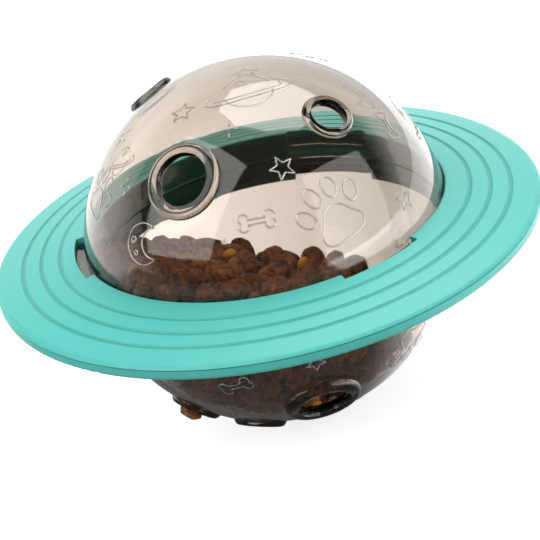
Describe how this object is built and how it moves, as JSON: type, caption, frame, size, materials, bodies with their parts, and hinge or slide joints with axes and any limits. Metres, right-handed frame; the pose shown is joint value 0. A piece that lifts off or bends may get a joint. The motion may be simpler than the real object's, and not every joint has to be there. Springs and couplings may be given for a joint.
{
  "type": "treat ball",
  "caption": "Ringed ball of two smoky clear half shells that twist-lock into the hub of a flat ring, with raised round ports that let food fall out as it rolls.",
  "frame": {"origin": "centre of the ball, in the middle plane of the ring", "axes": "+Z along the ball's axis through the upper shell; the picture looks along +Y with +X to the right, from 26 degrees above the ring"},
  "size_m": [0.1876, 0.1876, 0.125],
  "materials": {
    "smoky_clear_plastic": "polished clear moulding, smoky grey-brown",
    "turquoise_plastic": "satin moulding"
  },
  "bodies": {
    "lower_half": {"lower_shell": "smoky_clear_plastic"},
    "ring": {"ring_upper": "turquoise_plastic", "ring_lower": "turquoise_plastic"},
    "upper_half": {"upper_shell": "smoky_clear_plastic"}
  },
  "joints": [
    {"name": "ring_twist", "type": "hinge", "parent": "lower_half", "child": "ring", "pos_m": [0, 0, 0], "axis": [0, 0, 1], "range_deg": [0, 30]},
    {"name": "upper_shell_lift", "type": "slide", "parent": "lower_half", "child": "upper_half", "axis": [0, 0, 1], "range_m": [0, 0.08]}
  ]
}
